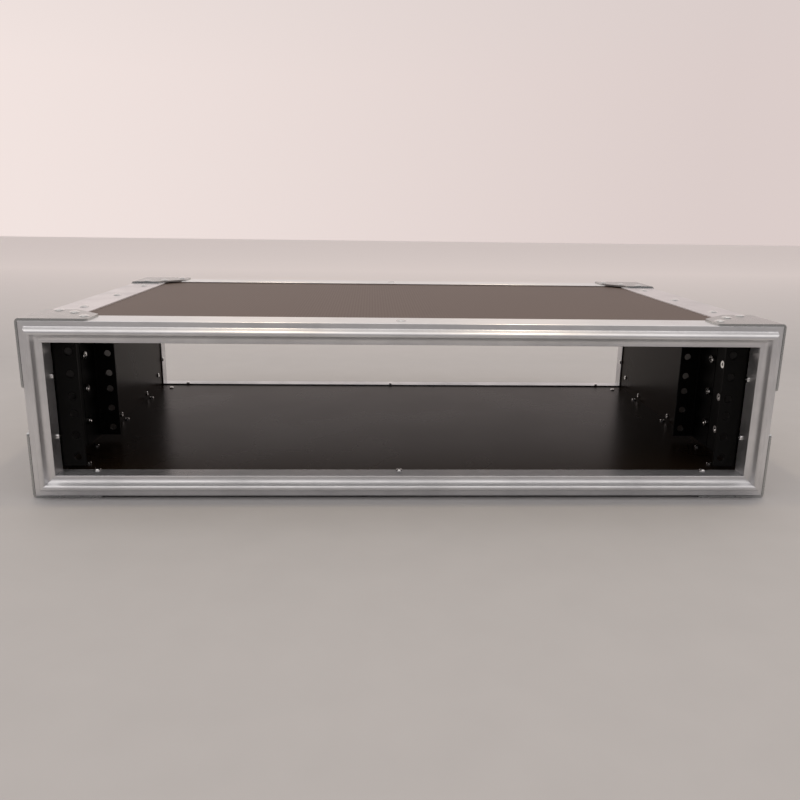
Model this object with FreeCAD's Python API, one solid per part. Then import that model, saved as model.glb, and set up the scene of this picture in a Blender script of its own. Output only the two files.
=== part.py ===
"""A 2U rack flight case: an open plywood sleeve with aluminium edging for 19 inch equipment.

The front opening faces -Y, the right side is +X and up is +Z. The origin is the middle of the
footprint, on the surface that the case stands on. All sizes are in millimetres.
"""
import FreeCAD, Part
import math
import os
from collections import namedtuple

V = FreeCAD.Vector
RivetSize = namedtuple("RivetSize", "shank_r head_r head_h tail_r tail_h")

# Driving dimensions of the sleeve, over the faces of its aluminium edging.
WIDTH = 516.0
HEIGHT = 123.2
DEPTH = 300.0
PANEL_T = 12.4          # 12 mm plywood with a laminate on both faces
LEG_T = 1.2             # wall of the aluminium extrusions
CORNER_R = 1.2          # outer radius along every depth edge
BRACE_T = 1.5           # corner brace sheet; the bottom braces are what the case stands on

# Rim extrusion around both openings: u runs in from the outer face, w back from the strip face.
RIM_FACE = PANEL_T + 2 * LEG_T
RIM_OUTER_LEG = 26.5
RIM_INNER_LEG = 14.4
RIM_SEAT = 3.4          # depth at which the panel's edge sits
RIM_CORNER_R = 0.6
RIM_TIP_R = 0.5
BEAD_CREST_U = 7.25     # crest of the tongue that locates a lid
BEAD_HEIGHT = 5.5
BEAD_CREST_R = 2.2
BEAD_OUTER_LEAN = 15.0  # degrees off square to the strip
BEAD_INNER_LEAN = 18.0
BEAD_OUTER_FILLET = 1.0
BEAD_INNER_FILLET = 3.5
LIP_SETBACK = 0.4       # the lip inside the tongue lies a little behind the strip outside it

ANGLE_LEG = 30.0        # edging along the four depth edges
ANGLE_TIP_R = 0.5
BRACE_WING = 46.0
BRACE_DIAGONAL = 69.0   # u + v along a wing's sloping edge
BRACE_TIP_R = 2.0
BRACE_SHOULDER_R = 7.0

# Rack rails: EIA-310 hole spacing, two units high.
BAY_UNITS = 2
UNIT = 44.45
HOLE_STEPS = (6.35, 22.225, 38.1)
HOLE_COLUMN_X = 465.1 / 2
HOLE_R = 2.6            # tapped M6
HOLE_SINK = 0.5
RAIL_T = 2.0
RAIL_BEND_R = 2.5
RAIL_EDGE_R = 0.4
RAIL_FLANGE_X = 227.0   # free edge of the flange
FRONT_RAIL_Y = (15.4, 62.0)
INNER_RAIL_Y = (63.0, 94.0)
FRONT_RAIL_RIVET_Y = 47.0
INNER_RAIL_RIVET_Y = 67.5
RAIL_RIVET_PITCH_Z = 25.4

PANEL_RIVET = RivetSize(shank_r=1.6, head_r=3.6, head_h=1.3, tail_r=2.1, tail_h=1.2)
RAIL_RIVET = RivetSize(shank_r=2.4, head_r=4.7, head_h=1.8, tail_r=3.2, tail_h=2.2)
HEAD_EDGE = 0.3         # upright edge round a domed head
TAIL_ROUND = 0.4        # bevel round a clinched tail
TAIL_DIMPLE = 0.5       # depth of the hollow in a clinched tail
BLIND_DEPTH = 9.0       # length of a rivet that ends inside the wood
RIVET_FIT = 0.1         # clearance of a rivet in its hole
OVERSHOOT = 1.0         # how far a cutting shape reaches past the face that it cuts

# Brace holes as (u along the rim, v back from the strip face): front tip, middle, rear tip.
BRACE_HOLES = ((40.0, 12.0), (27.0, 30.0), (12.5, 40.0))
RIM_RIVET_PLACE = (-4.0, 12.0)  # x, and v back from the strip face
ANGLE_RIVET_U = 18.0
ANGLE_RIVET_V = (72.5, 150.0, 227.5)

# Derived places.
HALF_W = WIDTH / 2
FRAME_Z0 = BRACE_T
FRAME_Z1 = FRAME_Z0 + HEIGHT
MID_Z = (FRAME_Z0 + FRAME_Z1) / 2
FRONT_Y = -DEPTH / 2
REAR_Y = DEPTH / 2
WALL_X = HALF_W - LEG_T - PANEL_T
FLOOR_Z = FRAME_Z0 + LEG_T + PANEL_T
RAIL_LENGTH = BAY_UNITS * UNIT


def box(x0, x1, y0, y1, z0, z1):
    """A box from its six bounds."""
    return Part.makeBox(x1 - x0, y1 - y0, z1 - z0, V(x0, y0, z0))


def rounded_outline(corners):
    """A closed wire in the XY plane from (x, y, radius) corners, each rounded by an arc."""
    edges = []
    starts = []
    ends = []
    count = len(corners)
    for index, (x, y, radius) in enumerate(corners):
        here = V(x, y, 0)
        back = V(*corners[index - 1][:2], 0) - here
        ahead = V(*corners[(index + 1) % count][:2], 0) - here
        back.normalize()
        ahead.normalize()
        half_angle = back.getAngle(ahead) / 2
        reach = radius / math.tan(half_angle)
        start = here + back * reach
        end = here + ahead * reach
        if radius > 0:
            bisector = back + ahead
            bisector.normalize()
            centre = here + bisector * (radius / math.sin(half_angle))
            edges.append(Part.Arc(start, centre - bisector * radius, end).toShape())
        starts.append(start)
        ends.append(end)
    for index in range(count):
        edges.append(Part.makeLine(ends[index], starts[(index + 1) % count]))
    return Part.Wire(Part.__sortEdges__(edges))


def prism(corners, length):
    """A rounded outline in the XY plane pushed up along +Z."""
    return Part.Face(rounded_outline(corners)).extrude(V(0, 0, length))


def revolve_profile(points, domed=False):
    """A solid of revolution about Z through (radius, height) points that start and end on the axis.

    With domed set, the last stretch is the arc of a spherical cap instead of a straight line.
    """
    path = [V(radius, 0, height) for radius, height in points]
    edges = [Part.makeLine(a, b) for a, b in zip(path, path[1:])]
    if domed:
        rim, crown = path[-2:]
        rise = crown.z - rim.z
        sphere_r = (rim.x ** 2 + rise ** 2) / (2 * rise)
        half_angle = math.asin(rim.x / sphere_r) / 2
        middle = V(sphere_r * math.sin(half_angle), 0, crown.z - sphere_r * (1 - math.cos(half_angle)))
        edges[-1] = Part.Arc(rim, middle, crown).toShape()
    edges.append(Part.makeLine(path[-1], path[0]))
    solid = Part.Face(Part.Wire(edges)).revolve(V(0, 0, 0), V(0, 0, 1), 360)
    if solid.Volume < 0:
        solid.reverse()
    return solid


def aimed(shape, position, outward):
    """A copy of a shape modelled about Z, with its +Z turned to outward and moved to position."""
    copy = shape.copy()
    aim = FreeCAD.Placement(position, FreeCAD.Rotation(V(0, 0, 1), outward))
    copy.Placement = aim.multiply(copy.Placement)
    return copy


def turned_about_y(shape, degrees, offset):
    """A copy of a shape that faces +Z, moved out by offset and then turned about the Y axis."""
    copy = shape.copy()
    copy.translate(V(0, 0, offset))
    copy.rotate(V(0, 0, 0), V(0, 1, 0), degrees)
    copy.translate(V(0, 0, MID_Z))
    return copy


def to_rear(shape):
    """The rear twin of a front piece: half a turn about the vertical axis."""
    copy = shape.copy()
    copy.rotate(V(0, 0, 0), V(0, 0, 1), 180)
    return copy


def solid_of(shape):
    """The one solid that a cut or a joint of solids leaves, with its seams merged."""
    clean = shape.removeSplitter()
    assert len(clean.Solids) == 1, "a piece fell apart"
    return clean.Solids[0]


# Rim extrusion

def bead_corners():
    """The tongue's outline in (u, w, radius) corners: outer foot, sharp apex and inner foot."""
    outer = math.radians(BEAD_OUTER_LEAN)
    inner = math.radians(BEAD_INNER_LEAN)
    skew = (outer - inner) / 2
    reach = BEAD_CREST_R / math.sin((outer + inner) / 2)
    apex_u = BEAD_CREST_U + reach * math.sin(skew)
    apex_w = BEAD_CREST_R - BEAD_HEIGHT - reach * math.cos(skew)
    outer_foot = apex_u + apex_w * math.tan(outer)
    inner_foot = apex_u + (LIP_SETBACK - apex_w) * math.tan(inner)
    return [(outer_foot, 0, BEAD_OUTER_FILLET), (apex_u, apex_w, BEAD_CREST_R),
            (inner_foot, LIP_SETBACK, BEAD_INNER_FILLET)]


def rim_section():
    """The rim extrusion's section as a face in the YZ plane, with the outer leg on top at z = 0."""
    inside = RIM_FACE - LEG_T
    corners = [(0, RIM_OUTER_LEG, RIM_TIP_R), (0, 0, RIM_CORNER_R)] + bead_corners()
    corners += [(RIM_FACE, LIP_SETBACK, RIM_CORNER_R), (RIM_FACE, RIM_INNER_LEG, RIM_TIP_R),
                (inside, RIM_INNER_LEG, RIM_TIP_R), (inside, RIM_SEAT, 0), (LEG_T, RIM_SEAT, 0),
                (LEG_T, RIM_OUTER_LEG, RIM_TIP_R)]
    face = Part.Face(rounded_outline(corners))
    face.rotate(V(0, 0, 0), V(0, 1, 0), 90)
    return face


def case_outline_prism():
    """The case's front outline with its rounded corners, reaching well past both openings."""
    corners = [
        (-HALF_W, -HEIGHT / 2, CORNER_R),
        (HALF_W, -HEIGHT / 2, CORNER_R),
        (HALF_W, HEIGHT / 2, CORNER_R),
        (-HALF_W, HEIGHT / 2, CORNER_R),
    ]
    length = 2 * DEPTH
    body = prism(corners, length)
    body.rotate(V(0, 0, 0), V(1, 0, 0), 90)
    body.translate(V(0, length / 2, MID_Z))
    return body


def rim_bar(length):
    """A rim bar along X with mitred ends, its outer face at z = 0 and its strip face at FRONT_Y."""
    bar = rim_section().extrude(V(length, 0, 0))
    bar.translate(V(-length / 2, FRONT_Y, 0))
    reach = RIM_FACE + OVERSHOOT
    mitre = [(-length / 2, 0, 0), (length / 2, 0, 0), (length / 2 - reach, -reach, 0),
             (-length / 2 + reach, -reach, 0)]
    wedge = prism(mitre, DEPTH)
    wedge.rotate(V(0, 0, 0), V(1, 0, 0), 90)
    return bar.common(wedge)


def rims():
    """The eight rim bars, keyed by node name."""
    outline = case_outline_prism()
    sides = (("top", WIDTH, HEIGHT / 2, 0), ("right", HEIGHT, HALF_W, 90),
             ("bottom", WIDTH, HEIGHT / 2, 180), ("left", HEIGHT, HALF_W, 270))
    pieces = {}
    for side, length, offset, degrees in sides:
        bar = turned_about_y(rim_bar(length), degrees, offset).common(outline)
        rear_side = {"left": "right", "right": "left"}.get(side, side)
        pieces["front_rim_" + side] = bar
        pieces["rear_rim_" + rear_side] = to_rear(bar)
    return pieces


# Panels

def panels():
    """Top and bottom panels run the full width, and the side panels stand between them."""
    y0 = FRONT_Y + RIM_SEAT
    y1 = REAR_Y - RIM_SEAT
    outer_x = HALF_W - LEG_T
    outer_z0 = FRAME_Z0 + LEG_T
    outer_z1 = FRAME_Z1 - LEG_T
    ceiling_z = outer_z1 - PANEL_T
    return {
        "top_panel": box(-outer_x, outer_x, y0, y1, ceiling_z, outer_z1),
        "bottom_panel": box(-outer_x, outer_x, y0, y1, outer_z0, FLOOR_Z),
        "left_panel": box(-outer_x, -WALL_X, y0, y1, FLOOR_Z, ceiling_z),
        "right_panel": box(WALL_X, outer_x, y0, y1, FLOOR_Z, ceiling_z),
    }


# Edging along the depth

CORNERS = (("top_right", 1, 1, 0), ("bottom_right", 1, -1, 90),
           ("bottom_left", -1, -1, 180), ("top_left", -1, 1, 270))


def at_corner(shape, side_x, side_z, degrees):
    """A piece modelled with its depth edge on the Y axis, turned and moved to a case corner."""
    copy = shape.copy()
    copy.rotate(V(0, 0, 0), V(0, 1, 0), degrees)
    copy.translate(V(side_x * HALF_W, 0, MID_Z + side_z * HEIGHT / 2))
    return copy


def edge_angles():
    """The four L-shaped edging strips between the front and rear rims."""
    leg = ANGLE_LEG
    corners = [(0, 0, CORNER_R), (0, -leg, ANGLE_TIP_R), (-LEG_T, -leg, 0), (-LEG_T, -LEG_T, 0),
               (-leg, -LEG_T, 0), (-leg, 0, ANGLE_TIP_R)]
    length = DEPTH - 2 * RIM_OUTER_LEG
    strip = prism(corners, length)
    strip.rotate(V(0, 0, 0), V(1, 0, 0), 90)
    strip.translate(V(0, length / 2, 0))
    pieces = {}
    for name, side_x, side_z, degrees in CORNERS:
        pieces["edge_angle_" + name] = at_corner(strip, side_x, side_z, degrees)
    return pieces


def brace():
    """One corner brace, bent round the depth edge at the origin, over the corner's outside."""
    wing = BRACE_WING
    slope = BRACE_DIAGONAL - wing
    bend = CORNER_R
    outline = [(-bend, FRONT_Y, 0), (-wing, FRONT_Y, BRACE_TIP_R),
               (-wing, FRONT_Y + slope, BRACE_SHOULDER_R),
               (-slope, FRONT_Y + wing, BRACE_SHOULDER_R), (-bend, FRONT_Y + wing, 0)]
    top_wing = prism(outline, BRACE_T)
    side_wing = top_wing.mirror(V(0, 0, 0), V(1, 0, -1))
    fold = Part.makeCylinder(bend + BRACE_T, wing, V(-bend, FRONT_Y, -bend), V(0, 1, 0))
    hollow = Part.makeCylinder(bend, wing, V(-bend, FRONT_Y, -bend), V(0, 1, 0))
    quarter = box(-bend, BRACE_T, FRONT_Y, FRONT_Y + wing, -bend, BRACE_T)
    fold = fold.cut(hollow).common(quarter)
    return solid_of(top_wing.fuse([fold, side_wing]))


def corner_braces():
    """The eight braces: four at the front rim and their rear twins."""
    piece = brace()
    pieces = {}
    for name, side_x, side_z, degrees in CORNERS:
        front = at_corner(piece, side_x, side_z, degrees)
        level, side = name.split("_")
        rear_side = "left" if side == "right" else "right"
        pieces["corner_brace_front_" + name] = front
        pieces["corner_brace_rear_" + level + "_" + rear_side] = to_rear(front)
    return pieces


# Rack rails

def rail(y_range, flange_first):
    """A right-hand rack rail: a drilled flange across the bay and a side flange along the wall.

    The flange stands at the front end of the side flange, or at its rear end.
    """
    bend_y, far_y = y_range if flange_first else y_range[::-1]
    inward = RAIL_T if flange_first else -RAIL_T
    inner_bend_r = RAIL_BEND_R - RAIL_T
    corners = [(WALL_X, bend_y, RAIL_BEND_R), (WALL_X, far_y, 0), (WALL_X - RAIL_T, far_y, 0),
               (WALL_X - RAIL_T, bend_y + inward, inner_bend_r),
               (RAIL_FLANGE_X, bend_y + inward, RAIL_EDGE_R), (RAIL_FLANGE_X, bend_y, RAIL_EDGE_R)]
    body = prism(corners, RAIL_LENGTH)
    body.translate(V(0, FRONT_Y, MID_Z - RAIL_LENGTH / 2))
    face_y = FRONT_Y + min(bend_y, bend_y + inward)
    wide_r = HOLE_R + HOLE_SINK
    end = -RAIL_T - OVERSHOOT
    drill = revolve_profile([(0, end), (HOLE_R, end), (HOLE_R, -HOLE_SINK), (wide_r, 0),
                             (wide_r, OVERSHOOT), (0, OVERSHOOT)])
    heights = [MID_Z + side * step for step in HOLE_STEPS for side in (-1, 1)]
    holes = [aimed(drill, V(HOLE_COLUMN_X, face_y, z), V(0, -1, 0)) for z in heights]
    return body.cut(holes)


def mirrored_in_x(shape):
    """The left-hand twin of a right-hand piece."""
    return shape.mirror(V(0, 0, 0), V(1, 0, 0))


def rails():
    """The front pair of rails and the inner pair set back in the bay."""
    front = rail(FRONT_RAIL_Y, True)
    inner = rail(INNER_RAIL_Y, False)
    return {
        "front_rack_rail_right": front,
        "front_rack_rail_left": mirrored_in_x(front),
        "inner_rack_rail_right": inner,
        "inner_rack_rail_left": mirrored_in_x(inner),
    }


# Rivets

def rivet(size, grip, tail, flush):
    """A rivet with its head's seat at z = 0; grip is the length down to the tail or the blind end."""
    if tail:
        below = -grip - size.tail_h
        end = [(0, below + TAIL_DIMPLE), (size.shank_r / 2, below), (size.tail_r - TAIL_ROUND, below),
               (size.tail_r, below + TAIL_ROUND), (size.tail_r, -grip), (size.shank_r, -grip)]
    else:
        end = [(0, -grip), (size.shank_r, -grip)]
    if flush:
        return revolve_profile(end + [(size.shank_r, -size.head_h), (size.head_r, 0), (0, 0)])
    head = [(size.shank_r, 0), (size.head_r, 0), (size.head_r, HEAD_EDGE), (0, size.head_h)]
    return revolve_profile(end + head, domed=True)


def rivet_drill(size, grip, tail, flush):
    """The hole that a rivet needs, from above its seat to its tail or its blind end."""
    radius = size.shank_r + RIVET_FIT
    end = -grip - (OVERSHOOT if tail else 0)
    if not flush:
        return Part.makeCylinder(radius, OVERSHOOT - end, V(0, 0, end))
    wide_r = size.head_r + RIVET_FIT
    sink = size.head_h + RIVET_FIT
    return revolve_profile([(0, end), (radius, end), (radius, -sink), (wide_r, 0),
                            (wide_r, OVERSHOOT), (0, OVERSHOOT)])


def comes_through(u, v, through_side):
    """Whether a rivet shows inside: not over a panel's edge, nor on a side wall behind a rail."""
    over_edge = u - PANEL_RIVET.tail_r < LEG_T + PANEL_T
    behind_rail = through_side and FRONT_RAIL_Y[0] < v < INNER_RAIL_Y[1]
    return not over_edge and not behind_rail


def horizontal_seats(u, v, side_x, side_z, lift):
    """Position and outward direction of a seat on a top or bottom face."""
    position = V(side_x * (HALF_W - u), FRONT_Y + v, MID_Z + side_z * (HEIGHT / 2 + lift))
    return position, V(0, 0, side_z)


def vertical_seats(u, v, side_x, side_z, lift):
    """Position and outward direction of a seat on a left or right face."""
    position = V(side_x * (HALF_W + lift), FRONT_Y + v, MID_Z + side_z * (HEIGHT / 2 - u))
    return position, V(side_x, 0, 0)


class RivetWork:
    """Rivets collected in named groups, and the drills for their holes."""

    def __init__(self):
        self.groups = {}
        self.drills = []

    def add(self, group, seat, size, grip, tail=True, flush=False):
        """One rivet on a seat, a (position, outward direction) pair."""
        position, outward = seat
        self.groups.setdefault(group, []).append(aimed(rivet(size, grip, tail, flush), position, outward))
        self.drills.append(aimed(rivet_drill(size, grip, tail, flush), position, outward))

    def compounds(self):
        """Each group as one shape of separate rivets."""
        return {name: Part.makeCompound(members) for name, members in self.groups.items()}


ENDS = {"front": lambda v: v, "rear": lambda v: DEPTH - v}
FACES = ((horizontal_seats, False), (vertical_seats, True))


def add_brace_rivets(work):
    """Three rivets through each wing of each brace; those that the case stands on are flush."""
    for name, side_x, side_z, _ in CORNERS:
        for seats, through_side in FACES:
            flush = side_z < 0 and not through_side
            for u, v in BRACE_HOLES:
                legs = 2 if v < RIM_INNER_LEG else 1
                for end, from_front in ENDS.items():
                    shows = comes_through(u, from_front(v), through_side)
                    grip = BRACE_T + legs * LEG_T + PANEL_T if shows else BLIND_DEPTH
                    seat = seats(u, from_front(v), side_x, side_z, BRACE_T)
                    work.add("brace_rivets_{}_{}".format(end, name), seat, PANEL_RIVET, grip, shows, flush)


def add_edge_rivets(work):
    """Three rivets along each leg of each edging angle."""
    for name, side_x, side_z, _ in CORNERS:
        for seats, through_side in FACES:
            for v in ANGLE_RIVET_V:
                shows = comes_through(ANGLE_RIVET_U, v, through_side)
                grip = LEG_T + PANEL_T if shows else BLIND_DEPTH
                seat = seats(ANGLE_RIVET_U, v, side_x, side_z, 0)
                work.add("edge_rivets_" + name, seat, PANEL_RIVET, grip, shows)


def add_rim_rivets(work):
    """One rivet near the middle of each long rim bar."""
    x, v = RIM_RIVET_PLACE
    for level, side_z in (("top", 1), ("bottom", -1)):
        for end, from_front in ENDS.items():
            seat = horizontal_seats(HALF_W - x, from_front(v), 1, side_z, 0)
            work.add("{}_rim_rivet_{}".format(end, level), seat, PANEL_RIVET, 2 * LEG_T + PANEL_T)


def add_rail_rivets(work):
    """Three large rivets through the side panel and the side flange of each rail."""
    for place, rivet_y in (("front", FRONT_RAIL_RIVET_Y), ("inner", INNER_RAIL_RIVET_Y)):
        for side, side_x in (("right", 1), ("left", -1)):
            for row in (-1, 0, 1):
                position = V(side_x * (HALF_W - LEG_T), FRONT_Y + rivet_y, MID_Z + row * RAIL_RIVET_PITCH_Z)
                work.add("{}_rail_rivets_{}".format(place, side), (position, V(side_x, 0, 0)),
                         RAIL_RIVET, PANEL_T + RAIL_T)


def drilled(pieces, drills):
    """Each piece with every hole that reaches it cut out."""
    result = {}
    for name, piece in pieces.items():
        near = [drill for drill in drills if drill.BoundBox.intersect(piece.BoundBox)]
        result[name] = piece.cut(near) if near else piece
    return result


def build():
    """Every sub-part of the case, keyed by node name."""
    pieces = {}
    pieces.update(panels())
    pieces.update(rims())
    pieces.update(edge_angles())
    pieces.update(corner_braces())
    pieces.update(rails())
    work = RivetWork()
    add_brace_rivets(work)
    add_edge_rivets(work)
    add_rim_rivets(work)
    add_rail_rivets(work)
    nodes = drilled(pieces, work.drills)
    nodes.update(work.compounds())
    return nodes


def main():
    """Write one STEP file for each sub-part."""
    os.makedirs("parts", exist_ok=True)
    nodes = build()
    for name, shape in sorted(nodes.items()):
        assert shape.isValid(), name
        shape.exportStep("parts/{}.step".format(name))
    print("wrote", len(nodes), "sub-parts")


main()
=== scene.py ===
"""Looks for the 2U rack flight case: aluminium edging, zinc braces, dark laminate and black rails."""
import math

import bpy
from mathutils import Matrix, Vector

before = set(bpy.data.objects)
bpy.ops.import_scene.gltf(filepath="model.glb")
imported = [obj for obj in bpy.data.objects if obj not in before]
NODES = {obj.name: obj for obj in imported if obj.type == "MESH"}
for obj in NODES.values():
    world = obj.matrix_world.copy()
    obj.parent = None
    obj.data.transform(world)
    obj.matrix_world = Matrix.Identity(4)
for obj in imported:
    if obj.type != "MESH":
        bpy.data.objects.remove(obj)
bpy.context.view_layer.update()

MM = 0.001

# Camera: fitted so that the case's edges and rack holes fall where the view shows them.
CAMERA_AT = (-0.0244, -0.6585, 0.2007)
CAMERA_PITCH = 14.22      # degrees below level
CAMERA_YAW = 2.24         # degrees turned right of +Y
CAMERA_ROLL = 0.79        # degrees about its own line of sight
LENS_MM = 34.36
SENSOR_MM = 36.0
NEAR_CLIP = 0.01          # metres

# Edges and faces.
EDGE_ROUND = 0.22 * MM    # broken edges of the sheet-metal parts
EDGE_STEPS = 2
SMOOTH_ANGLE = 35.0       # degrees; flatter edges are shaded as round
OUTWARD_ENOUGH = 0.5      # cosine: a panel face within 60 degrees of outward has the outside film

# Shades, as linear colours.
ALUMINIUM_CLEAN = (0.80, 0.80, 0.81, 1)
ALUMINIUM_HANDLED = (0.68, 0.68, 0.69, 1)
ZINC_PALE = (0.545, 0.555, 0.55, 1)
ZINC_DULL = (0.40, 0.41, 0.405, 1)
NICKEL = (0.93, 0.925, 0.91, 1)
# the outside film's darker colour is also painted shade, used in the troughs between its bosses
FILM_OUTSIDE = ((0.068, 0.043, 0.032, 1), (0.090, 0.060, 0.046, 1))
# painted shade: the inside film is far darker than the outside one, partly its own colour and partly the
# shade inside the case
FILM_INSIDE = ((0.0135, 0.008, 0.004, 1), (0.019, 0.012, 0.007, 1))
FILM_GLOSS_TINT = (1.0, 0.84, 0.74, 1)
RAIL_BLACK = ((0.004, 0.004, 0.004, 1), (0.008, 0.0075, 0.007, 1))
FLOOR_PALE = ((0.455, 0.448, 0.45, 1), (0.49, 0.483, 0.485, 1))
# painted light: the floor's far colour, close to the bright room's, so that the floor fades into the light
# behind the case
FLOOR_FAR_PAINTED_LIGHT = (0.95, 0.89, 0.87, 1)
TARNISH = 0.8             # how bright tarnished nickel is against clean nickel

# Gloss: the lowest and highest roughness of each finish, and its specular level where it isn't metal.
ALUMINIUM_ROUGHNESS = (0.29, 0.39)
BRUSHING = 0.85           # how far the aluminium's highlights are drawn out by its die lines
BRUSHING_TURN = 0.25      # a quarter turn, so that they spread across the lines
ZINC_ROUGHNESS = (0.24, 0.31)
NICKEL_ROUGHNESS = (0.08, 0.18)
RAIL_ROUGHNESS = (0.42, 0.55)
RAIL_GLOSS = 0.07
OUTSIDE_TROUGH_ROUGHNESS = 0.48
OUTSIDE_BOSS_ROUGHNESS = 0.42
OUTSIDE_GLOSS = 0.30
INSIDE_ROUGHNESS = (0.26, 0.30)
INSIDE_GLOSS = 0.055
FLOOR_ROUGHNESS = 0.7
FLOOR_GLOSS = 0.2

# Fine detail: scales are noise cells per metre, and depths are how far the bumps stand up or cut in.
NOISE_BULK = (0.3, 0.7)   # the span in which most values of a noise lie
DIE_LINE_SCALE = 2200.0
DIE_LINE_DEPTH = 0.012 * MM
DIE_LINE_ROUGHNESS = 0.03  # what a line adds to the roughness or takes from it
WIDE_LINE_SCALE = 380.0
WIDE_LINE_DEPTH = 0.03 * MM
LINE_SQUEEZE = 0.004      # how far noise is scaled down along the metal, which draws it out into lines
SMUDGE_SCALE = 24.0
SMUDGE_SPAN = (0.3, 0.75)  # of the noise, from the smoothest to the roughest metal
HANDLED_SPAN = (0.42, 0.72)  # of the same noise, from clean to handled metal
SCRATCH_SCALE = 900.0
SCRATCH_SQUEEZE = 0.05
SCRATCH_SPAN = (0.70, 0.76)  # of the noise, so that only its peaks leave a scratch
SCRATCH_DEPTH = 0.02 * MM
ZINC_PATCH_SCALE = 240.0
ZINC_CLOUD_SCALE = 60.0
ZINC_CLOUD_DEPTH = 0.08 * MM
ZINC_CLOUD_ROUGHNESS = (-0.04, 0.06)
ZINC_SCUFF_SCALE = 700.0
ZINC_SCUFF_SQUEEZE = (0.15, 1.0, 1.0)
ZINC_SCUFF_SPAN = (0.60, 0.75)
ZINC_SCUFF_DEPTH = 0.01 * MM
ZINC_SCUFF_ROUGHNESS = 0.12
NICKEL_CLOUD_SCALE = 480.0
NICKEL_CLOUD_DEPTH = 0.02 * MM
TARNISH_SPAN = (0.35, 0.75)
ORANGE_PEEL_SCALE = 1700.0
ORANGE_PEEL_DEPTH = 0.05 * MM
RAIL_DUST_SCALE = 40.0
HEX_PITCH = 2.6 * MM      # embossed grip pattern of the outer film
HEX_DEPTH = 0.10 * MM
HEX_WAVE_SUM = (-1.5, 3.0)  # the least and the greatest sum of its three waves
FILM_CLOUD_SCALE = 14.0
FILM_CLOUD_SHARE = 0.5    # of the outside film's colour, random tone; the rest is painted shade, darker in the troughs between its bosses
FILM_GRAIN_SCALE = 1500.0
FILM_GRAIN_DEPTH = 0.006 * MM
FLOOR_GRAIN_SCALE = 30.0

# The floor, in metres.
FLOOR_HALF = 4.0
FLOOR_FADE = (0.35, 1.8)  # behind the case's middle, where painted light turns the floor to its lighter far colour

# The room round the case: its colours, and the span of a direction's X, Y or Z over which they change.
ROOM_FRONT = (0.14, 0.14, 0.155, 1)
ROOM_REAR_LEFT = (0.88, 0.77, 0.74, 1)
ROOM_REAR_RIGHT = (0.71, 0.61, 0.59, 1)
ROOM_ABOVE = (0.66, 0.618, 0.605, 1)
FRONT_TO_REAR = (-0.6, 0.5)
LEFT_TO_RIGHT = (-0.4, 0.4)
LEVEL_TO_ABOVE = (0.15, 0.65)

# Lights: places and sizes in metres, power in watts.
LIGHTS_AIM_AT = (0, 0, 0.06)
SOFTBOX_AT = (0.0, -0.30, 1.5)
SOFTBOX_SIZE = (3.6, 2.0)
SOFTBOX_POWER = 10.5
SOFTBOX_COLOUR = (1.0, 0.985, 0.97)
LAMP_X = {"lamp_left": -0.28, "lamp_right": 0.33}
LAMP_Y = -0.05
LAMP_Z = 1.42
LAMP_SIZE = (0.09, 0.09)
LAMP_POWER = 2.0
LAMP_COLOUR = (1.0, 0.80, 0.55)


# Node helpers

def new_material(name):
    """An empty node material with its output and a Principled shader joined."""
    material = bpy.data.materials.new(name)
    material.use_nodes = True
    tree = material.node_tree
    tree.nodes.clear()
    shader = tree.nodes.new("ShaderNodeBsdfPrincipled")
    output = tree.nodes.new("ShaderNodeOutputMaterial")
    tree.links.new(shader.outputs["BSDF"], output.inputs["Surface"])
    return material, tree, shader


def fill(tree, socket, value):
    """Gives an input socket a link when the value is an output socket, or else a constant."""
    if isinstance(value, bpy.types.NodeSocket):
        tree.links.new(value, socket)
    else:
        socket.default_value = value


def node(tree, kind, inputs=None, **settings):
    """A shader node with its settings and the values or links of its inputs."""
    made = tree.nodes.new(kind)
    for key, value in settings.items():
        setattr(made, key, value)
    for key, value in (inputs or {}).items():
        fill(tree, made.inputs[key], value)
    return made


def math_node(tree, operation, a, b=0.0):
    """The result of a math operation on one or two values."""
    return node(tree, "ShaderNodeMath", {0: a, 1: b}, operation=operation).outputs[0]


def remap(tree, value, low, high, to_low, to_high):
    """A value moved from one range to another and held inside the new one."""
    inputs = {0: value, 1: low, 2: high, 3: to_low, 4: to_high}
    return node(tree, "ShaderNodeMapRange", inputs).outputs[0]


def mix_colour(tree, factor, a, b):
    """The colour between a, where the factor is 0, and b, where it is 1.

    The Mix node keeps its two colour inputs at 6 and 7, and its colour output at 2.
    """
    made = tree.nodes.new("ShaderNodeMix")
    made.data_type = "RGBA"
    fill(tree, made.inputs[0], factor)
    fill(tree, made.inputs[6], a)
    fill(tree, made.inputs[7], b)
    return made.outputs[2]


def position(tree):
    """The place on the object in metres, which is the same as its place in the frame."""
    return node(tree, "ShaderNodeTexCoord").outputs["Object"]


def noise(tree, scale, detail=3.0, roughness=0.5, squeeze=(1, 1, 1)):
    """Noise over the object's position, with each axis multiplied by its squeeze."""
    place = node(tree, "ShaderNodeVectorMath", {0: position(tree), 1: squeeze}, operation="MULTIPLY")
    inputs = {"Vector": place.outputs[0], "Scale": scale, "Detail": detail, "Roughness": roughness}
    return node(tree, "ShaderNodeTexNoise", inputs).outputs["Fac"]


def bump(tree, height, distance, strength=1.0, before=None):
    """A bumped normal, on top of another one when before is given."""
    inputs = {"Height": height, "Distance": distance, "Strength": strength}
    if before is not None:
        inputs["Normal"] = before
    return node(tree, "ShaderNodeBump", inputs).outputs["Normal"]


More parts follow.
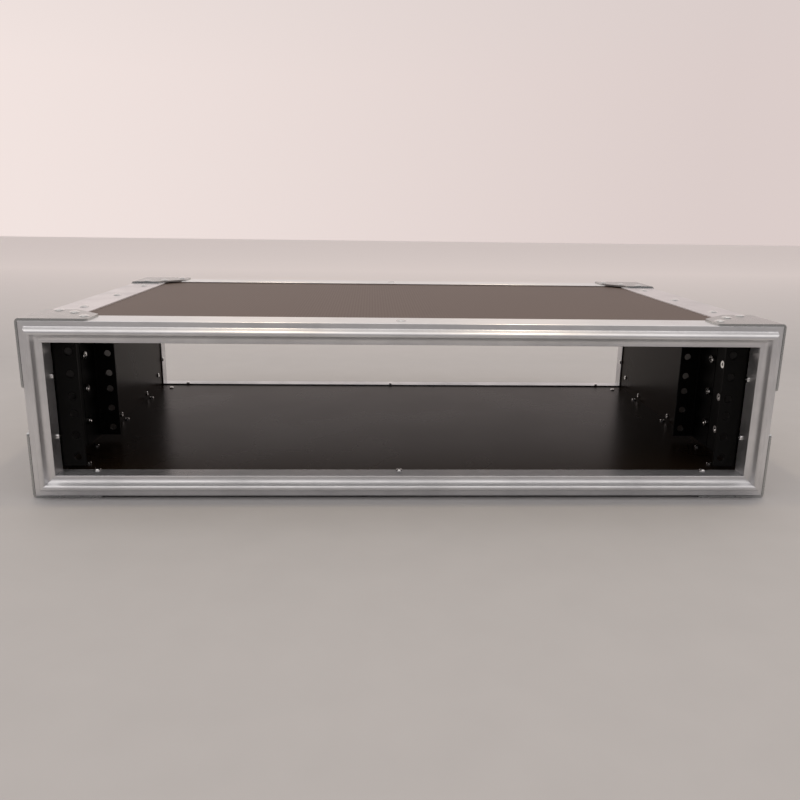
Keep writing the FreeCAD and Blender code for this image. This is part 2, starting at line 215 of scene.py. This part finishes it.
def hexagon_waves(tree, across, along, pitch):
    """A honeycomb of round bosses: three cosine waves whose directions lie 60 degrees apart.

    The result runs from 0 in the troughs to 1 on the bosses. across and along are unit axes.
    """
    total = 0.0
    wave_number = 2 * math.pi / (pitch * math.cos(math.radians(30)))
    for turn in (0, 60, 120):
        angle = math.radians(turn)
        way = [wave_number * (math.cos(angle) * a + math.sin(angle) * b) for a, b in zip(across, along)]
        phase = node(tree, "ShaderNodeVectorMath", {0: position(tree), 1: way}, operation="DOT_PRODUCT")
        wave = math_node(tree, "COSINE", phase.outputs["Value"])
        total = math_node(tree, "ADD", wave, total)
    return remap(tree, total, *HEX_WAVE_SUM, 0.0, 1.0)


# Materials

def drawn_aluminium(axis):
    """Satin extrusion with die lines along one axis, faint handling marks and a few fine scratches."""
    material, tree, shader = new_material("aluminium_along_" + "xyz"[axis])
    along = [1.0 if index == axis else 0.0 for index in range(3)]
    line_squeeze = [LINE_SQUEEZE if on_axis else 1.0 for on_axis in along]
    scratch_squeeze = [SCRATCH_SQUEEZE if on_axis else 1.0 for on_axis in along]
    lines = noise(tree, DIE_LINE_SCALE, detail=2.0, roughness=0.6, squeeze=line_squeeze)
    broad = noise(tree, WIDE_LINE_SCALE, detail=2.0, squeeze=line_squeeze)
    smudge = noise(tree, SMUDGE_SCALE, detail=4.0, roughness=0.6)
    scratches = noise(tree, SCRATCH_SCALE, detail=1.0, roughness=0.4, squeeze=scratch_squeeze)
    handled = remap(tree, smudge, *HANDLED_SPAN, 0.0, 1.0)
    fill(tree, shader.inputs["Base Color"], mix_colour(tree, handled, ALUMINIUM_CLEAN, ALUMINIUM_HANDLED))
    smudge_rough = remap(tree, smudge, *SMUDGE_SPAN, *ALUMINIUM_ROUGHNESS)
    line_rough = remap(tree, lines, *NOISE_BULK, -DIE_LINE_ROUGHNESS, DIE_LINE_ROUGHNESS)
    fill(tree, shader.inputs["Roughness"], math_node(tree, "ADD", smudge_rough, line_rough))
    shader.inputs["Metallic"].default_value = 1.0
    shader.inputs["Anisotropic"].default_value = BRUSHING
    shader.inputs["Anisotropic Rotation"].default_value = BRUSHING_TURN
    tangent = node(tree, "ShaderNodeCombineXYZ", dict(enumerate(along)))
    fill(tree, shader.inputs["Tangent"], tangent.outputs[0])
    fine = bump(tree, lines, DIE_LINE_DEPTH, strength=0.5)
    wide = bump(tree, broad, WIDE_LINE_DEPTH, strength=0.35, before=fine)
    marks = remap(tree, scratches, *SCRATCH_SPAN, 0.0, 1.0)
    scratched = bump(tree, marks, -SCRATCH_DEPTH, strength=0.4, before=wide)
    fill(tree, shader.inputs["Normal"], scratched)
    return material


def zinc_plate():
    """Bright zinc over rolled sheet: a grey tint, cloudy patches and small scuffs."""
    material, tree, shader = new_material("zinc_plate")
    cells = node(tree, "ShaderNodeTexVoronoi", {"Vector": position(tree), "Scale": ZINC_PATCH_SCALE})
    patch = node(tree, "ShaderNodeSeparateColor", {0: cells.outputs["Color"]}).outputs[0]
    cloud = noise(tree, ZINC_CLOUD_SCALE, detail=4.0, roughness=0.6)
    streaks = noise(tree, ZINC_SCUFF_SCALE, detail=2.0, roughness=0.6, squeeze=ZINC_SCUFF_SQUEEZE)
    scuffs = remap(tree, streaks, *ZINC_SCUFF_SPAN, 0.0, 1.0)
    fill(tree, shader.inputs["Base Color"], mix_colour(tree, cloud, ZINC_DULL, ZINC_PALE))
    patch_rough = remap(tree, patch, 0.0, 1.0, *ZINC_ROUGHNESS)
    cloud_rough = remap(tree, cloud, *NOISE_BULK, *ZINC_CLOUD_ROUGHNESS)
    scuff_rough = remap(tree, scuffs, 0.0, 1.0, 0.0, ZINC_SCUFF_ROUGHNESS)
    base_rough = math_node(tree, "ADD", patch_rough, cloud_rough)
    fill(tree, shader.inputs["Roughness"], math_node(tree, "ADD", base_rough, scuff_rough))
    shader.inputs["Metallic"].default_value = 1.0
    soft = bump(tree, cloud, ZINC_CLOUD_DEPTH, strength=0.4)
    scuffed = bump(tree, scuffs, -ZINC_SCUFF_DEPTH, strength=0.4, before=soft)
    fill(tree, shader.inputs["Normal"], scuffed)
    return material


def nickel_rivet():
    """Bright plated rivets with a little tarnish."""
    material, tree, shader = new_material("rivet_nickel")
    cloud = noise(tree, NICKEL_CLOUD_SCALE, roughness=0.6)
    tarnished = tuple(TARNISH * part for part in NICKEL[:3]) + (1,)
    dulled = remap(tree, cloud, *TARNISH_SPAN, 0.0, 1.0)
    fill(tree, shader.inputs["Base Color"], mix_colour(tree, dulled, NICKEL, tarnished))
    fill(tree, shader.inputs["Roughness"], remap(tree, cloud, *NOISE_BULK, *NICKEL_ROUGHNESS))
    shader.inputs["Metallic"].default_value = 1.0
    fill(tree, shader.inputs["Normal"], bump(tree, cloud, NICKEL_CLOUD_DEPTH, strength=0.4))
    return material


def powder_coat():
    """Satin black powder coat with its fine orange peel and a trace of dust."""
    material, tree, shader = new_material("black_powder_coat")
    peel = noise(tree, ORANGE_PEEL_SCALE, detail=2.0)
    dust = noise(tree, RAIL_DUST_SCALE)
    fill(tree, shader.inputs["Base Color"], mix_colour(tree, dust, *RAIL_BLACK))
    fill(tree, shader.inputs["Roughness"], remap(tree, dust, *NOISE_BULK, *RAIL_ROUGHNESS))
    shader.inputs["Specular IOR Level"].default_value = RAIL_GLOSS
    fill(tree, shader.inputs["Normal"], bump(tree, peel, ORANGE_PEEL_DEPTH, strength=0.5))
    return material


def film_grain(tree, before=None):
    """The very fine grain that both films have, on top of another bump when before is given."""
    grain = noise(tree, FILM_GRAIN_SCALE, detail=2.0)
    return bump(tree, grain, FILM_GRAIN_DEPTH, strength=0.3, before=before)


def outer_film(name, across, along):
    """The panels' outside film: brown-black with a fine hexagonal grip in the plane of two axes, and
    painted shade darkening its colour in the troughs between the bosses.
    """
    material, tree, shader = new_material(name)
    bosses = hexagon_waves(tree, across, along, HEX_PITCH)
    cloud = noise(tree, FILM_CLOUD_SCALE)
    # painted shade: half of the colour follows a random cloud, and the other half is darker in the troughs
    # between the bosses
    tone_and_trough_shade = node(tree, "ShaderNodeMix", {0: FILM_CLOUD_SHARE, 2: bosses, 3: cloud}).outputs[0]
    rough = remap(tree, bosses, 0.0, 1.0, OUTSIDE_TROUGH_ROUGHNESS, OUTSIDE_BOSS_ROUGHNESS)
    fill(tree, shader.inputs["Base Color"], mix_colour(tree, tone_and_trough_shade, *FILM_OUTSIDE))
    fill(tree, shader.inputs["Roughness"], rough)
    shader.inputs["Specular IOR Level"].default_value = OUTSIDE_GLOSS
    shader.inputs["Specular Tint"].default_value = FILM_GLOSS_TINT
    pattern = bump(tree, bosses, HEX_DEPTH, strength=0.22)
    fill(tree, shader.inputs["Normal"], film_grain(tree, pattern))
    return material


def inner_film():
    """The panels' inside film: smooth and near black, its darkness partly its own colour and partly
    painted shade of the case's inside, with soft clouds in its gloss.
    """
    material, tree, shader = new_material("inner_film")
    cloud = noise(tree, FILM_CLOUD_SCALE)
    # partly painted shade: these near-black colours also stand in for the shade inside the case
    fill(tree, shader.inputs["Base Color"], mix_colour(tree, cloud, *FILM_INSIDE))
    fill(tree, shader.inputs["Roughness"], remap(tree, cloud, *NOISE_BULK, *INSIDE_ROUGHNESS))
    shader.inputs["Specular IOR Level"].default_value = INSIDE_GLOSS
    shader.inputs["Specular Tint"].default_value = FILM_GLOSS_TINT
    fill(tree, shader.inputs["Normal"], film_grain(tree))
    return material


def pale_floor():
    """Matt pale paper with a barely visible grain, and painted light making it lighter far behind the
    case.
    """
    material, tree, shader = new_material("pale_floor")
    near = mix_colour(tree, noise(tree, FLOOR_GRAIN_SCALE), *FLOOR_PALE)
    behind = node(tree, "ShaderNodeSeparateXYZ", {0: position(tree)}).outputs["Y"]
    # painted light: the floor turns lighter with distance behind the case
    fade = remap(tree, behind, *FLOOR_FADE, 0.0, 1.0)
    fill(tree, shader.inputs["Base Color"], mix_colour(tree, fade, near, FLOOR_FAR_PAINTED_LIGHT))
    shader.inputs["Roughness"].default_value = FLOOR_ROUGHNESS
    shader.inputs["Specular IOR Level"].default_value = FLOOR_GLOSS
    return material


# The case

def give(names, material):
    """Puts one material on each named CAD mesh."""
    for name in names:
        slots = NODES[name].data.materials
        slots.clear()
        slots.append(material)


def face_panel(name, outward, outside, inside):
    """Puts the outside film on the faces of a panel that look outward, and the inside film elsewhere."""
    mesh = NODES[name].data
    mesh.materials.clear()
    mesh.materials.append(outside)
    mesh.materials.append(inside)
    for face in mesh.polygons:
        looks_out = face.normal.dot(Vector(outward)) > OUTWARD_ENOUGH
        face.material_index = 0 if looks_out else 1


def dress_case():
    """Puts a material on every CAD node."""
    rivets = [name for name in NODES if "rivet" in name]
    plain = [name for name in NODES if name not in rivets]
    rims = [name for name in plain if "_rim_" in name]
    long_rims = [name for name in rims if name.endswith(("top", "bottom"))]
    give(long_rims, drawn_aluminium(0))
    give([name for name in rims if name not in long_rims], drawn_aluminium(2))
    give([name for name in plain if name.startswith("edge_angle")], drawn_aluminium(1))
    give([name for name in plain if name.startswith("corner_brace")], zinc_plate())
    give([name for name in plain if "rack_rail" in name], powder_coat())
    give(rivets, nickel_rivet())
    x_axis, y_axis, z_axis = (1, 0, 0), (0, 1, 0), (0, 0, 1)
    inside = inner_film()
    level = outer_film("outer_film_level", x_axis, y_axis)
    upright = outer_film("outer_film_upright", y_axis, z_axis)
    face_panel("top_panel", z_axis, level, inside)
    face_panel("bottom_panel", (0, 0, -1), level, inside)
    face_panel("left_panel", (-1, 0, 0), upright, inside)
    face_panel("right_panel", x_axis, upright, inside)


def soften_edges():
    """Breaks the sharp edges of the sheet-metal parts, and shades every part's round faces smoothly."""
    for name, piece in NODES.items():
        piece.data.shade_smooth()
        piece.data.set_sharp_from_angle(angle=math.radians(SMOOTH_ANGLE))
        if name.startswith(("corner_brace", "edge_angle")) or "rack_rail" in name:
            bevel = piece.modifiers.new("broken_edges", "BEVEL")
            bevel.width = EDGE_ROUND
            bevel.segments = EDGE_STEPS
            bevel.limit_method = "ANGLE"
            bevel.angle_limit = math.radians(SMOOTH_ANGLE)


# The studio

def build_stage():
    """A plain pale floor that the case stands on."""
    mesh = bpy.data.meshes.new("floor")
    half = FLOOR_HALF
    corners = [(-half, -half, 0), (half, -half, 0), (half, half, 0), (-half, half, 0)]
    mesh.from_pydata(corners, [], [(0, 1, 2, 3)])
    mesh.materials.append(pale_floor())
    floor = bpy.data.objects.new("floor", mesh)
    bpy.context.scene.collection.objects.link(floor)


def build_world():
    """Soft room light: warm and bright behind the case, most to its left, less above, and dim in front."""
    world = bpy.data.worlds.new("studio")
    bpy.context.scene.world = world
    world.use_nodes = True
    tree = world.node_tree
    tree.nodes.clear()
    direction = node(tree, "ShaderNodeTexCoord").outputs["Generated"]
    parts = node(tree, "ShaderNodeSeparateXYZ", {0: direction})
    toward_rear = remap(tree, parts.outputs["Y"], *FRONT_TO_REAR, 0.0, 1.0)
    upward = remap(tree, parts.outputs["Z"], *LEVEL_TO_ABOVE, 0.0, 1.0)
    toward_right = remap(tree, parts.outputs["X"], *LEFT_TO_RIGHT, 0.0, 1.0)
    rear = mix_colour(tree, toward_right, ROOM_REAR_LEFT, ROOM_REAR_RIGHT)
    level = mix_colour(tree, toward_rear, ROOM_FRONT, rear)
    colour = mix_colour(tree, upward, level, ROOM_ABOVE)
    background = node(tree, "ShaderNodeBackground", {"Color": colour, "Strength": 1.0})
    output = node(tree, "ShaderNodeOutputWorld")
    tree.links.new(background.outputs[0], output.inputs["Surface"])


def soft_light(name, place, size, power, colour):
    """A rectangular soft light aimed at the case."""
    light = bpy.data.lights.new(name, "AREA")
    light.shape = "RECTANGLE"
    light.size, light.size_y = size
    light.energy = power
    light.color = colour
    lamp = bpy.data.objects.new(name, light)
    lamp.location = place
    aim = Vector(LIGHTS_AIM_AT) - Vector(place)
    lamp.rotation_euler = aim.to_track_quat("-Z", "Y").to_euler()
    bpy.context.scene.collection.objects.link(lamp)


def build_lights():
    """A wide softbox above and a little in front of the case, with two small warm lamps under it."""
    soft_light("softbox", SOFTBOX_AT, SOFTBOX_SIZE, SOFTBOX_POWER, SOFTBOX_COLOUR)
    for name, x in LAMP_X.items():
        soft_light(name, (x, LAMP_Y, LAMP_Z), LAMP_SIZE, LAMP_POWER, LAMP_COLOUR)


def build_camera():
    """The fitted camera, which becomes the scene's own."""
    camera = bpy.data.cameras.new("camera")
    camera.lens = LENS_MM
    camera.sensor_width = SENSOR_MM
    camera.clip_start = NEAR_CLIP
    rig = bpy.data.objects.new("camera", camera)
    turn = (Matrix.Rotation(math.radians(-CAMERA_YAW), 4, "Z")
            @ Matrix.Rotation(math.radians(90 - CAMERA_PITCH), 4, "X")
            @ Matrix.Rotation(math.radians(CAMERA_ROLL), 4, "Z"))
    rig.matrix_world = Matrix.Translation(CAMERA_AT) @ turn
    bpy.context.scene.collection.objects.link(rig)
    bpy.context.scene.camera = rig


dress_case()
soften_edges()
build_stage()
build_world()
build_lights()
build_camera()
bpy.context.scene.view_settings.view_transform = "Standard"
